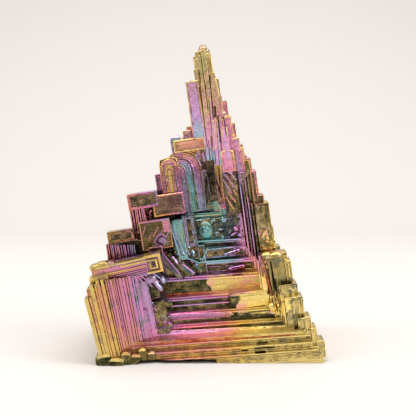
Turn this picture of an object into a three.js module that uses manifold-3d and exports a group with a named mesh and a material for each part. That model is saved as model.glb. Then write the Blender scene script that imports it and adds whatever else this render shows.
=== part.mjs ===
// Bismuth hopper crystal, grown in one piece: a stepped, hollow-faced spire on a stepped base.
// Millimetres, +Z up, the viewer's side is -Y. One closed solid, flat where it rests.
import * as THREE from 'three';
import { mergeVertices } from 'three/addons/utils/BufferGeometryUtils.js';
import Module from 'manifold-3d';

const wasm = await Module();
wasm.setup();

// ---- driving dimensions ----
const frontRim = 22;          // the front rim's distance ahead of the middle
const baseDepth = 44;         // front rim to back rim at the foot
const backSlope = 0.2;        // how fast the back steps in with height
const belowRest = -6;         // blocks start below the resting plane and are cut flat there
const pillarDepth = 4;        // depth of the upright ribs on the rim
const pillarWidth = 3;        // width of the upright ribs at the back
const storeyCount = 13;       // steps of the back
const spireTop = 79;          // height of the last back step along the grain
const ribPitch = 1.15;        // pitch of the fine upright ribs
const footHollow = 0.9;       // height of the shallow hollow under the front edge

// Grain: u runs to the right, v up the growth direction, w toward the viewer.
function grain(riseDeg, leanDeg, tipDeg) {
  const rise = THREE.MathUtils.degToRad(riseDeg);
  const lean = THREE.MathUtils.degToRad(leanDeg);
  const tip = THREE.MathUtils.degToRad(tipDeg);
  const u = new THREE.Vector3(Math.cos(rise), 0, Math.sin(rise));
  const v = new THREE.Vector3(-Math.sin(lean), -Math.sin(tip), 0);
  v.z = Math.sqrt(1 - v.lengthSq());
  const w = new THREE.Vector3().crossVectors(u, v).normalize();
  const m = new THREE.Matrix4().makeBasis(u, v, w);
  m.setPosition(0, -frontRim, 0);
  return m;
}

const mainGrain = grain(4, 8, 5);
const upperGrain = grain(8, 8.5, 5);   // the blocks up the left side grew a little askew
const barGrain = grain(10, 12, 5);

function toManifold(geometry) {
  geometry.deleteAttribute('normal');
  geometry.deleteAttribute('uv');
  const g = mergeVertices(geometry, 1e-5);
  return new wasm.Manifold(new wasm.Mesh({
    numProp: 3,
    vertProperties: new Float32Array(g.attributes.position.array),
    triVerts: new Uint32Array(g.index.array),
  }));
}

let body = null;

function grow(solid) {
  body = body ? body.add(solid) : solid;
}

// One block between two corners of the grain.
function block(g, u0, u1, v0, v1, w0, w1) {
  const box = new THREE.BoxGeometry(u1 - u0, v1 - v0, w1 - w0);
  box.translate((u0 + u1) / 2, (v0 + v1) / 2, (w0 + w1) / 2);
  box.applyMatrix4(g);
  return toManifold(box);
}

// Distance of the back face from the front rim, negative, at a height.
function backAt(v) {
  return -baseDepth + backSlope * v;
}

// ---- base: strips that step up and back into the hollow of the front face ----
const baseStrips = [
  // left end, right end, top, front
  [-25, 30, 1.6, 0],
  [-25, 29.5, 3.4, -1.2],
  [-25, 29, 5, -2.6],
  [-14, 27, 7.6, -6],
  [-13.5, 26.5, 10.4, -8.2],
  [-13, 26, 12.5, -10.5],
  [-12.5, 25.5, 13.7, -11.8],
  [-12, 22, 18.6, -14.5],
  [-10, 20.5, 22.2, -18],
  [-8, 20, 25.7, -19.6],
  [-6, 19.5, 28.5, -21],
  [-4, 18.5, 34.9, -22.6],
  [-2, 17.5, 37.3, -24.6],
];
for (const [left, right, top, front] of baseStrips) {
  grow(block(mainGrain, left, right, belowRest, top, backAt(top) + 7, front));
}

// ---- right stair: upright ribs, each taller and further back than the one outside it ----
const rightRibs = [
  // inner side, outer side, top, front
  [28.6, 31.1, 3.4, -1],
  [27.4, 29.6, 6.6, -2],
  [26.2, 28.6, 9.2, -3.4],
  [23.6, 27.4, 14.3, -5],
  [22.8, 26.6, 17.2, -7.4],
  [20.8, 25.9, 23, -9],
  [18.6, 25.2, 25, -10.2],
  [18.6, 22.6, 38, -16],
  [18, 21.6, 40, -17],
  [17, 20.4, 46.8, -18],
  [16.6, 19.5, 50.2, -19],
  [16.2, 18.5, 51.2, -19.5],
  [15.8, 18, 53.2, -20],
  [15, 17.2, 56, -20.3],
  [14, 16.3, 56.8, -20.8],
  [13.4, 15.8, 62.1, -21.2],
  [12.6, 14.6, 63.2, -21.8],
  [12, 14, 67.7, -22],
  [11.8, 13.5, 70.9, -22.4],
  [11.2, 13.2, 74.1, -21.6],
  [10.6, 12.7, 78.9, -22],
];
rightRibs.forEach(([inner, outer, top, front], i) => {
  const bottom = i < 3 ? -1.2 : belowRest;
  grow(block(mainGrain, inner - 1, outer, bottom, top, front - pillarDepth - 1, front));
});

// ---- spire: a bundle of thin ribs round a tall flat plate ----
grow(block(mainGrain, 5, 13, 30, 70, -29, -23));
grow(block(mainGrain, 8, 12.6, 60, 75.5, -28.2, -22.7));
grow(block(mainGrain, 8.4, 12, 30, 81.8, -25.6, -21));
grow(block(mainGrain, 7.8, 9.25, 50, 79.9, -25.2, -20.6));
grow(block(mainGrain, 4.7, 8.15, 50, 72.1, -23.8, -19.5));
grow(block(mainGrain, 9.1, 10.1, 48, 77.5, -24.1, -20));
grow(block(mainGrain, 12.8, 14.5, 46, 59, -24, -20));
grow(block(mainGrain, 11.6, 14.8, 42, 51.6, -24, -18.4));
for (let i = 0; i < 4; i += 1) {
  const left = 8.2 + 1.1 * i;
  grow(block(mainGrain, left, left + 0.7, 44 + i, 71.4 - 4 * i, -23.6, -20.6 + 0.3 * (i % 2)));
}

// ---- upper left: overlapping blocks and thin plates ----
const upperBlocks = [
  // left, right, bottom, top, front, depth
  [2.5, 5, 52, 60.3, -21, 5],
  [-1.3, 2.2, 50, 58.3, -20, 7],
  [-0.2, 8.4, 53.6, 56.5, -16, 8],
  [-3.4, 6, 36, 54, -17.5, 10],
  [-3.6, 1.9, 43, 52.3, -15, 8],
  [-7, -3, 39, 49.3, -20, 9.3],
  [-7.4, 1, 38, 42.7, -11.5, 14],
  [-14.5, -5, 39.6, 44, -16.5, 14.5],
  [-14.3, -3, 24, 40.4, -18, 14],
  [-11.2, -2.8, 29.4, 36.4, -9.5, 16],
  [-21.5, -13.8, 31, 34.2, -15.5, 12],
  [-23, -10, 18, 30.8, -17, 14],
];
for (const [left, right, bottom, top, front, depth] of upperBlocks) {
  grow(block(upperGrain, left, right, bottom, top, front - depth, front));
}
for (let i = 0; i < 6; i += 1) {
  const left = -22.8 + ribPitch * i;
  grow(block(upperGrain, left, left + 0.6, 20, 30.6, -20, -16.2));
}
for (let i = 0; i < 3; i += 1) {
  const left = -14.2 + ribPitch * i;
  grow(block(upperGrain, left, left + 0.6, 30, 40.2, -20, -17));
}
// ledges between the base hollow and the left blocks
grow(block(mainGrain, -8, 3.5, 14, 27.5, -30, -15.5));
grow(block(mainGrain, -5.5, 5, 14, 33, -30, -17.5));

// ---- left wing: a fan of upright ribs that steps back to the right ----
const wingRibs = 11;
for (let i = 0; i < wingRibs; i += 1) {
  const t = i / (wingRibs - 1);
  const g = grain(9, 13 - 5 * t, 5);
  const left = -26.4 + ribPitch * i;
  const top = i === 0 ? 22 : 25.4 - 0.08 * i;
  const front = 1.4 - 0.62 * i;
  grow(block(g, left, left + (i % 3 === 2 ? 1.3 : 0.75), belowRest, top, front - 8, front));
}
grow(block(grain(9, 13, 5), -25.6, -10, belowRest, 21.6, backAt(20) + 8, -5));
grow(block(grain(9, 9, 5), -18, -9.6, belowRest, 21, backAt(20) + 8, -5.6));
grow(block(barGrain, -23.6, -7, 25, 27.2, -16, -2.6));
grow(block(barGrain, -22, -8, 20, 25.6, -18, -6));
grow(block(barGrain, -9.4, -5.4, 25.4, 29.2, -6, -1.4));
grow(block(barGrain, -26, -19, belowRest, 6.2, -8, 2));

// ---- storeys: sides and back step in, their faces hollow between upright ribs ----
for (let k = 0; k < storeyCount; k += 1) {
  const t = k / (storeyCount - 1);
  const top = 3 + (spireTop - 3) * t;
  const right = 31 - 0.235 * top;
  const left = top < 58 ? Math.max(-25 + 0.02 * top, -44 + 0.8 * top) : 2.4 + 0.25 * (top - 58);
  const back = backAt(top);
  const sill = 1.5 + 3 * k;
  const wide = Math.min(pillarWidth, (right - left) / 3);
  grow(block(mainGrain, right - wide, right, belowRest, top, back, back + pillarDepth));
  grow(block(mainGrain, left, left + wide, belowRest, top, back, back + pillarDepth));
  grow(block(mainGrain, left + 0.5, right - 0.5, belowRest, Math.min(sill, top), back + 0.5, -25));
  grow(block(mainGrain, left + 2, right - 2.2, belowRest, top - 1.5, back + 2.6 + 2.4 * (1 - t), -26.3));
}

// ---- rest: cut flat, with a shallow hollow under the front edge ----
const under = new THREE.BoxGeometry(200, 200, 60);
under.translate(0, 0, -30);
body = body.subtract(toManifold(under));
const hollow = new THREE.BoxGeometry(20, 10, 2 * footHollow);
hollow.translate(-7, -frontRim, 0);
body = body.subtract(toManifold(hollow));

// ---- one closed mesh, origin at the bottom centre of its box ----
const mesh = body.getMesh();
const stride = mesh.numProp;
const count = mesh.vertProperties.length / stride;
const positions = new Float32Array(count * 3);
for (let i = 0; i < count; i += 1) {
  for (let j = 0; j < 3; j += 1) {
    positions[i * 3 + j] = mesh.vertProperties[i * stride + j];
  }
}
const geometry = new THREE.BufferGeometry();
geometry.setAttribute('position', new THREE.BufferAttribute(positions, 3));
geometry.setIndex(new THREE.BufferAttribute(new Uint32Array(mesh.triVerts), 1));
geometry.computeBoundingBox();
const middle = geometry.boundingBox.getCenter(new THREE.Vector3());
geometry.translate(-middle.x, -middle.y, -geometry.boundingBox.min.z);
geometry.computeVertexNormals();

const oxide = new THREE.MeshStandardMaterial({ color: 0xb88a7c, roughness: 0.35, metalness: 1 });
const crystal = new THREE.Mesh(geometry, oxide);
crystal.name = 'bismuth_crystal';

const part = new THREE.Group();
part.name = 'bismuth_hopper_crystal';
part.add(crystal);
export default part;
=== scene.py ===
# Bismuth hopper crystal: stepped front hollow, ribbed side wing, ribbed spire, thin oxide colours
import bpy, math, random
from mathutils import Vector, Matrix, Quaternion


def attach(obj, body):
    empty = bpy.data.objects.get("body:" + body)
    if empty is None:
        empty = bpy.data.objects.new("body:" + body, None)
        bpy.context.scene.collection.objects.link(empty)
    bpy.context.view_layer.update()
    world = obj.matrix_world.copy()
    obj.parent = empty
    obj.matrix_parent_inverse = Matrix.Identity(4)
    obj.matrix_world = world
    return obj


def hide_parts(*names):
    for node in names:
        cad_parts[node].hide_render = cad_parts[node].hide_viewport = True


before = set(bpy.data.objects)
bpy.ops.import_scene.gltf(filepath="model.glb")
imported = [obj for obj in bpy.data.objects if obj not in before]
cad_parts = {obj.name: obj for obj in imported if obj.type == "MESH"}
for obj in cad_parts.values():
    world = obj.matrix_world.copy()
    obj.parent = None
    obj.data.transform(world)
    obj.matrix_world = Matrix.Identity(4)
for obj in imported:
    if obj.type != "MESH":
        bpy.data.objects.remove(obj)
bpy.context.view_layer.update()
random.seed(1907)
mm = 0.001          # lengths along the grain are in millimetres

frontRim = 0.02022  # metres from the middle to the front edge of the base


def grain(rise, lean, tip=5.0):
    # u runs right and rises, v runs up, leans left and tips back, w runs out of the hollow face; in degrees
    rise, lean, tip = (math.radians(a) for a in (rise, lean, tip))
    u = Vector((math.cos(rise), 0, math.sin(rise)))
    v = Vector((-math.sin(lean), -math.sin(tip), 0))
    v.z = math.sqrt(1 - v.length_squared)
    return u, v, u.cross(v).normalized()


# each cluster of the crystal grew a little askew
grains = {
    "main": grain(4, 8),
    "upper": grain(8, 8.5, 1),
    "bar": grain(12.5, 12),
}


def squareTurn(axes, keep):
    # a right-angled turn that keeps the rib direction (upright) or the strip direction (level)
    u, v, w = axes
    if keep == "level":
        v = w.cross(u).normalized()
    else:
        u = v.cross(w).normalized()
    return Matrix((u, v, w)).transposed().to_quaternion()


seeds = {"grown": [], "hollow": []}
plainKind, ribKind, stripKind, lumpKind, archKind = range(5)
restDepth = -6        # blocks start below the rest and are cut flat there
shadedRedLine = 3              # a tone this high is a red-brown line, whatever the film is there: red film darkened as painted shade in a crease


def block(grainName, left, right, bottom, top, back, front, lie="upright", kind=plainKind, bevel=0.1,
          copies=1, step=(0, 0, 0), growth=(0, 0, 0), tone=0.0, bronze=1.0, round=0.0, arch=0.0, roll=0.0,
          swing=0.0, nod=0.0, into="grown", axes=None):
    # one block, or a run of copies that step and grow by a rule; millimetres along the grain
    u, v, w = axes or grains[grainName]
    place = Vector((-0.00004, -frontRim, 0)) + mm * (
        (left + right) / 2 * u + (bottom + top) / 2 * v + (back + front) / 2 * w)
    turn = squareTurn((u, v, w), lie) @ Quaternion((0, 0, 1), math.radians(roll)) @ Quaternion(
        (0, 1, 0), math.radians(swing)) @ Quaternion((1, 0, 0), math.radians(nod))
    seeds[into].append({
        "place": place, "turn": turn, "size": mm * Vector((right - left, top - bottom, front - back)),
        "step": mm * (step[0] * u + step[1] * v + step[2] * w), "growth": mm * Vector(growth),
        "copies": copies, "kind": kind, "bevel": bevel * mm, "tone": tone, "bronze": bronze,
        "round": round, "arch": arch})


def seedMesh(name, rows):
    mesh = bpy.data.meshes.new(name)
    mesh.from_pydata([r["place"] for r in rows], [], [])
    for key, form in (("turn", "QUATERNION"), ("size", "FLOAT_VECTOR"), ("step", "FLOAT_VECTOR"),
                      ("growth", "FLOAT_VECTOR"), ("copies", "INT"), ("kind", "INT"), ("bevel", "FLOAT"),
                      ("tone", "FLOAT"), ("bronze", "FLOAT"), ("round", "FLOAT"), ("arch", "FLOAT")):
        layer = mesh.attributes.new(key, form, "POINT")
        for i, r in enumerate(rows):
            if "VECTOR" in form:
                layer.data[i].vector = r[key]
            else:
                layer.data[i].value = r[key]
    thing = bpy.data.objects.new(name, mesh)
    bpy.context.collection.objects.link(thing)
    return thing


def hopperFace(grainName, left, right, bottom, top, front, rim=0.5, depth=0.35, levels=2, **look):
    # nested hollows in a front face, each smaller and deeper than the one before
    block(grainName, left + rim, right - rim, bottom + rim, top - rim, front - depth, front + 1.5,
          copies=levels, step=(0, 0, -depth / 2), growth=(-2 * rim, -2 * rim, depth), bevel=0.03,
          into="hollow", **look)


def lump(x, y, w, width, height, depth, tone=0.0, bronze=0.0, roll=0, grainName="main"):
    # a rounded drop of metal left on a step
    block(grainName, x - width / 2, x + width / 2, y - height / 2, y + height / 2, w - depth, w,
          kind=lumpKind, round=0.85, tone=tone, bronze=bronze, roll=roll)


def shards(count, grainName, left, right, bottom, top, back, front, big, tone=0.0, spread=25, bronze=0.4):
    # loose little plates grown at odd angles between the larger blocks
    for _ in range(count):
        x, y, w = (random.uniform(p, q) for p, q in ((left, right), (bottom, top), (back, front)))
        long, thin = random.uniform(0.5, 1.0) * big, random.uniform(0.25, 0.6)
        block(grainName, x - thin / 2, x + thin / 2, y - long / 2, y + long / 2, w - 3, w, kind=ribKind,
              bevel=0.08, roll=random.uniform(-spread, spread), swing=random.uniform(-12, 12),
              tone=tone + random.uniform(-0.12, 0.12), bronze=bronze)


# base: strips that step up and back into the hollow, every riser made of finer steps
base = {
    "strips": [      # left, right, top, front, fine steps, lip, painted shade
        (-25, 30, 1.6, 0, 4, 0.2, 0.1), (-25, 29.5, 3.4, -0.8, 4, 0.2, 0.1),
        (-24, 29, 5, -1.8, 3, 0.25, 0.2), (-14, 27, 7.6, -7.6, 2, 0.25, 1),
        (-13.5, 26.5, 10.4, -9.4, 1, 0.25, 1.1), (-13, 26, 12.5, -11.4, 1, 0.2, 1.1),
        (-12.5, 25.5, 13.7, -12.6, 1, 0.2, 1.1), (-12, 22, 18.6, -15, 1, 0.25, 1.15),
        (-10, 20.5, 22.2, -18, 3, 0.3, 1.2), (-8, 20, 25.7, -19.8, 3, 0.25, 1.2),
        (-6, 19.5, 28.5, -21.4, 2, 0.3, 1.1), (-4, 18.5, 34.9, -23, 1, 0.4, 0.5),
        (-2, 17.5, 37.3, -24.8, 3, 0.3, 0.9)],
    "redLines": [      # left, right, bottom, top, front, turn, painted shade
        (-11, 24, 5.1, 5.5, -2.05, -0.6, 0.3), (-7, 8, 5.4, 5.95, -2.0, -1.6, 0.5),
        (-5, 8.4, 7.85, 8.2, -9.1, -0.2, 0.3), (-8.4, 8.6, 14.55, 14.9, -14.7, -0.4, 0.2)],
    "slots": [      # left, right, height
        (13.1, 18.3, 2.6), (13.0, 15.8, 1.8), (13.8, 16.6, 3.7), (9.6, 11.4, 2.3)],
    "treadSlope": 8,          # degrees
}


def growBase():
    for i, (left, right, top, front, fine, lip, bronze) in enumerate(base["strips"]):
        low = base["strips"][i - 1][2] if i else restDepth
        rise = (top - max(low, -1)) / fine
        back = -37 + 0.2 * top
        block("main", left, right, restDepth, top - rise * (fine - 1), back, front, lie="level",
              kind=stripKind, copies=fine, step=(0, rise / 2, -0.13), growth=(-0.3, rise, -0.26),
              bronze=bronze, bevel=0.1, tone=-0.04 if i < 3 else 0)
        block("main", left + 0.4, right - 0.3, top - lip, top + 0.1, front - 1.2, front + 0.2, lie="level",
              kind=stripKind, bevel=0.06, tone=0.03, bronze=0)
        # the treads rise a little toward the next riser
        if i < 12:
            nextFront = base["strips"][i + 1][3]
            deep = front - nextFront
            if deep > 1.2:
                block("main", left + 1.5, right - 2.2, top - 0.5, top + 0.35 + 0.18 * deep,
                      nextFront - 0.6, front - 0.4, lie="level", kind=stripKind, bevel=0.05,
                      nod=base["treadSlope"], tone=0.02, bronze=0, roll=random.uniform(-0.3, 0.3))
        # a thread-thin line halfway up the wider risers
        if i == 4 or i == 10:
            block("main", left + 0.4, right - 0.3, (top + low) / 2, (top + low) / 2 + 0.22, front - 1.2,
                  front + 0.12, lie="level", kind=stripKind, bevel=0.05, tone=0.05, bronze=0,
                  roll=random.uniform(-0.6, 0.6))

    # a broad sloping tread above the front step, and a swollen riser on the right
    block("main", -17, 25, 3.7, 7.1, -5.9, -4.9, lie="level", kind=stripKind, bevel=0.1, nod=-34, tone=0.1,
          bronze=0, roll=-1.6)
    block("main", -13.5, 9, 9.2, 10.6, -10, -8.9, lie="level", kind=lumpKind, round=0.25, bevel=0.1,
          nod=-20, tone=0.1, bronze=0, roll=-1.5)
    block("main", 8, 20.5, 10.8, 15.4, -16, -9.6, kind=lumpKind, round=0.3, bevel=0.4, bronze=1)
    block("main", 8.2, 20.2, 8.3, 9.9, -12, -8.75, bevel=0.3, bronze=1.5, roll=-1)
    # red-brown lines where the risers meet the treads, red film darkened as painted shade in the crease,
    # and slots in the front steps painted dark as shade
    for left, right, bottom, top, front, turn, bronze in base["redLines"]:
        block("main", left, right, bottom, top, front - 2, front, lie="level", kind=stripKind, bevel=0.05,
              tone=shadedRedLine, bronze=bronze, roll=turn)
    for left, right, y in base["slots"]:
        block("main", left, right, y - 0.14, y + 0.2, -4, 1.5, lie="level", kind=stripKind, bevel=0.03,
              into="hollow", bronze=1.8)


growBase()
print("laid out: base stair")

# right stair: upright ribs, each taller and deeper than the one outside it
rightStair = {
    "ribs": [      # inner side, outer side, top, front, hollow rim
        (28.6, 31.1, 3.4, -1, 0.5), (27.4, 29.6, 6.6, -2, 0.45), (26.2, 28.6, 9.2, -3.4, 0.5),
        (23.6, 27.4, 14.3, -5, 0.55), (22.8, 26.6, 17.2, -7.4, 0), (20.8, 25.9, 23, -9, 0.6),
        (18.6, 25.2, 25, -10.2, 0.7), (18.4, 22.6, 38, -16, 0), (18, 21.6, 40, -17, 0),
        (17, 20.4, 46.8, -18, 0.35), (16.6, 19.5, 50.2, -19, 0.4), (16.2, 18.5, 51.2, -19.5, 0),
        (15.8, 18, 53.2, -20, 0.35), (15, 17.2, 56, -20.3, 0.3), (14, 16.3, 56.8, -20.8, 0),
        (13.4, 15.8, 62.1, -21.2, 0.35), (12.6, 14.6, 63.2, -21.8, 0), (12, 14, 67.7, -22, 0.3),
        (11.8, 13.5, 70.9, -22.4, 0), (11.2, 13.2, 74.1, -21.6, 0.3), (10.6, 12.7, 78.9, -22, 0.3)],
    "crust": [      # x, y, w, width, height, painted shade
        (19.6, 24.6, -9.2, 3, 2.2, 0.8), (22, 24.4, -8.7, 3.6, 2.6, 0.5), (23.8, 20, -8.4, 2.6, 5, 0.4),
        (24.4, 14.6, -7, 3, 4, 0.3)],
    "crustLumps": 34,         # small rounded growth on the broad ribs, and on the tall one above them
    "upperLumps": 26,
}


def growRightStair():
    for i, (inner, outer, top, front, rim) in enumerate(rightStair["ribs"]):
        low = -1.2 if i < 3 else restDepth
        bronze = 0.35 if i < 5 else (0.7 if i < 7 else (0.95 if i < 11 else 0.3))
        tone = 0.05 if i < 7 else (-0.02 if i < 12 else 0)
        block("main", inner - 1, outer, low, top, front - 5, front, kind=ribKind, bevel=0.14,
              bronze=bronze, tone=tone)
        # thinner ribs stand against the inner side
        block("main", inner - 0.9, inner - 0.5, low + 2, top - 0.8, front - 5, front - 0.35, kind=ribKind,
              bevel=0.05, copies=2, step=(-0.6, -0.5, -0.5), growth=(0, -0.4, 0), tone=0.1, bronze=0)
        if rim:
            low = max(base["strips"][min(i, 12)][2] * 0.5, top - 13)
            hopperFace("main", inner, outer, low, top, front, rim=rim, depth=0.25, levels=2 if i < 6 else 1,
                       bronze=bronze, tone=tone)

    for x, y, w, width, height, bronze in rightStair["crust"]:
        lump(x, y, w, width, height, 3, bronze=bronze, tone=-0.1)
    for _ in range(rightStair["crustLumps"]):
        y = random.uniform(10, 25)
        lump(random.uniform(19, 25.4) - 0.02 * y, y, -9 + 0.12 * (25 - y), random.uniform(0.6, 2),
             random.uniform(0.8, 2.6), 1.8, tone=random.uniform(-0.15, 0.1),
             bronze=random.choice((0, 0.7, 1.4)), roll=random.uniform(-40, 40))
    for _ in range(rightStair["upperLumps"]):
        lump(random.uniform(18.6, 22.2), random.uniform(24, 31), -15.9, random.uniform(0.8, 2),
             random.uniform(1, 3), 1.4, tone=random.uniform(-0.3, 0.1),
             bronze=random.choice((0, 0.5, 1.2)), roll=random.uniform(-30, 30))
    for i in range(4):
        block("main", 18.9 + 0.75 * i, 19.15 + 0.75 * i, 12.4 - 1.2 * i, 22.6 - 1.4 * i, -12, -6,
              kind=ribKind, bevel=0.05, into="hollow", bronze=1.6)

    block("main", 18.9, 19.9, 13.5, 21.4, -13, -6, kind=ribKind, bevel=0.2, into="hollow", bronze=0.3,
          tone=shadedRedLine, roll=7)
    block("main", 20.0, 20.4, 13, 22, -14, -8.8, kind=ribKind, bevel=0.08, bronze=0, tone=shadedRedLine)
    block("main", 18.5, 18.8, 16, 24, -14, -9.9, kind=ribKind, bevel=0.08, bronze=0, tone=shadedRedLine)
    block("main", 20.6, 21.1, 13, 23, -13, -6, kind=ribKind, bevel=0.1, into="hollow", bronze=1.6, roll=3)


growRightStair()
print("laid out: right stair")

# long thin ribs beside the well, turning into the strips below
thinRibs = {
    "count": 5,
    "pitch": 0.8,             # each rib stands this far to the left of the one before
}


def growThinRibs():
    for i in range(thinRibs["count"]):
        x = 18.8 - thinRibs["pitch"] * i
        block("main", x - 0.1, x + 0.2, 20 + 1.1 * i, 47 - 0.9 * i, -26, -17.0 - 1.0 * i, kind=ribKind,
              bevel=0.05, tone=(0.05, -0.1)[i % 2], bronze=0, roll=random.uniform(-0.4, 0.4))
        block("main", x - 0.62, x - 0.18, 21 + 1.1 * i, 46 - 0.9 * i, -19.6 - 1.0 * i, -14, kind=ribKind,
              bevel=0.04, into="hollow", bronze=1.8)


growThinRibs()
print("laid out: thin ribs by the well")

# spire: a bundle of thin ribs round a tall flat plate
spire = {
    "ribs": [      # left, right, low, top, front, turn, tone
        (8.9, 9.75, 56, 78.8, -20.2, -1, -0.05), (10.0, 11.2, 67, 80.2, -19.7, 0, -0.02),
        (10.7, 11.4, 66.6, 78, -20.4, -3, 0.04), (11.35, 12.6, 62, 79.2, -20.5, 0, -0.08),
        (11.4, 12.9, 64, 74, -19.9, 0, 0), (12.3, 13.4, 58, 70.6, -20.8, 0, 0.02),
        (8.5, 9.5, 54, 71.2, -19.3, -2, 0.02), (9.4, 10.1, 54, 69.4, -19.7, -2, 0.06),
        (10.1, 11.1, 53, 66.8, -19.5, -3, 0.02), (7.7, 8.5, 49.8, 58, -20, -2, 0.14),
        (8.7, 9.3, 49.4, 59, -20.3, -3, 0.16), (9.5, 10.0, 49.6, 57, -20, -4, 0.1),
        (10.3, 11.1, 49, 61.8, -18.9, -4, 0.02), (11.15, 11.9, 48.6, 61.2, -19.2, -4, 0.07),
        (12.3, 12.9, 52, 61.9, -19.5, -2, 0.02), (12.95, 13.7, 52, 61.3, -19.8, -2, 0),
        (13.8, 15.5, 52, 62.2, -20.2, -1, 0)],
    "leftColumn": [      # low, top, front
        (78, 79.9, -20.3), (75.4, 77.8, -20.1), (72, 75.2, -19.9)],
    "clefts": [      # x, width, low, top, turn
        (9.85, 0.22, 64, 79, -0.5), (11.3, 0.2, 68, 78, -1.5), (11.2, 0.3, 61.5, 73.5, -3),
        (11.6, 0.75, 62, 65, -3), (10.05, 0.16, 54, 67, -2.5), (8.35, 0.22, 54, 71.5, -1),
        (12.05, 0.35, 55, 62.4, -3), (13.75, 0.3, 56.8, 62, 0), (9.4, 0.24, 49, 57, -3),
        (8.6, 0.16, 49, 56, -2)],
}


def growSpire():
    block("main", 5, 13, 46, 70, -29, -23, kind=ribKind)
    block("main", 8, 12.6, 60, 75.5, -28.2, -22.7, kind=ribKind)
    block("main", 9.6, 11.6, 50, 80, -25.6, -21.2, kind=archKind, bevel=0.3, arch=0.8, bronze=0.5)
    lump(10.7, 79.7, -20.6, 2.6, 4.2, 4, bronze=1.5, tone=0.1)
    lump(9.7, 79.4, -20.6, 1.5, 2.2, 3, bronze=1.5, tone=0.1)
    lump(11.8, 79.6, -20.8, 1.3, 1.8, 3, bronze=1.6, tone=0.1)
    block("main", 10.1, 11.9, 50, 80.9, -25.2, -20.8, kind=ribKind, bevel=0.3, bronze=0)
    for left, right, low, top, front, turn, tone in spire["ribs"]:
        block("main", left, right, low, top, -24, front, kind=ribKind, bevel=0.12, bronze=0, roll=turn,
              tone=tone)
    for low, top, front in spire["leftColumn"]:
        block("main", 7.3 + 0.17 * (low - 72), 8.5 + 0.17 * (low - 72), low, top, -24, front, bevel=0.15,
              bronze=0)
    # clefts between them, painted dark as shade
    for x, wide, low, top, turn in spire["clefts"]:
        block("main", x - wide / 2, x + wide / 2, low, top, -22.4, -17, kind=ribKind, bevel=0.03,
              into="hollow", bronze=1.8, roll=turn)
    block("main", 4.7, 8.15, 54.5, 72.1, -23.8, -19.5, kind=ribKind, bevel=0.07, bronze=0, tone=0.08)
    hopperFace("main", 4.7, 8.15, 56.3, 72.1, -19.5, rim=0.25, depth=0.08, levels=1, bronze=0, tone=0.18)
    block("main", 12.5, 14.3, 46, 59.3, -24, -18.8, kind=archKind, bevel=0.2, arch=0.7, bronze=0)
    hopperFace("main", 12.5, 14.3, 50, 59, -18.8, rim=0.28, depth=0.2, levels=1, bronze=0, tone=0)
    block("main", 11.4, 15.2, 47, 52.9, -24, -18.2, kind=archKind, bevel=0.2, arch=0.3, bronze=0,
          tone=-0.12)
    hopperFace("main", 11.4, 15.2, 47, 52.9, -18.2, rim=0.35, depth=0.2, levels=1, bronze=0, tone=-0.1)
    block("main", 11.5, 15.2, 35, 46.6, -25, -18.6, bevel=0.3, tone=0.05, bronze=1.1)
    for k in range(14):
        row, i = divmod(k, 7)
        block("main", 12 + 0.42 * i, 12.3 + 0.42 * i, 36.4 + 0.9 * i + 4.2 * row, 40.4 + 0.6 * i + 5 * row,
              -22, -18.3 - 0.06 * i, kind=ribKind, bevel=0.1, bronze=(0.7, 1.6)[i % 2],
              tone=-0.4 + 0.25 * row, roll=24 + 2 * i)
    block("main", 14.9, 15.5, 36, 47, -22, -16, kind=ribKind, into="hollow", bronze=1.7, bevel=0.05)
    block("main", 10.8, 16.3, 28, 46, -26, -20.4, bronze=1.3)


growSpire()
print("laid out: spire")

# the well: a deep back wall with ledges, panels painted dark as shade, and drops
well = {
    "panels": [      # left, right, bottom, top, front, painted shade
        (4.6, 6.0, 37, 49, -25.0, 0.8), (7.4, 9.8, 40, 50.5, -25.4, 1.4),
        (9.3, 12.6, 38.5, 48.5, -25.8, 1.2), (8.2, 10.6, 44, 50.6, -25.0, 1.1),
        (5.8, 7.6, 38, 51.6, -24.8, 1.5), (12.2, 14.6, 37, 47, -24.4, 1.3),
        (7, 12.6, 38.4, 39.1, -24.9, 1), (7.2, 12.2, 39.6, 40.1, -25.5, 1.4),
        (10.9, 12.4, 40, 50, -26.4, 1.5), (6.0, 13, 36.6, 37.6, -24.2, 1)],
    "recess": [      # left, right, bottom, top, depth, painted shade, tone, turn
        (5.4, 7.3, 36.4, 47.4, -23.6, 0.9, 0, -2), (6.9, 9.3, 38.4, 50.4, -25.2, 1.2, 0, -2),
        (9.0, 11.1, 38.4, 49, -23.7, 0.6, -0.4, -2), (6.2, 11.0, 36.4, 37.3, -22.4, 1, -0.3, 0),
        (6.6, 11.0, 37.2, 38.6, -23.2, 0.9, -0.3, 0), (7.4, 8.2, 40, 47, -26.4, 1.6, 0, 4),
        (9.6, 10.0, 39.4, 44.6, -25.4, 1.7, 0, 9), (10.2, 10.5, 41.5, 48, -25, 1.7, 0, -4),
        (5.9, 6.4, 38, 45, -25, 1.6, 0, -3)],
    "crustLumps": 44,         # small rounded growth round the drop
}


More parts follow.
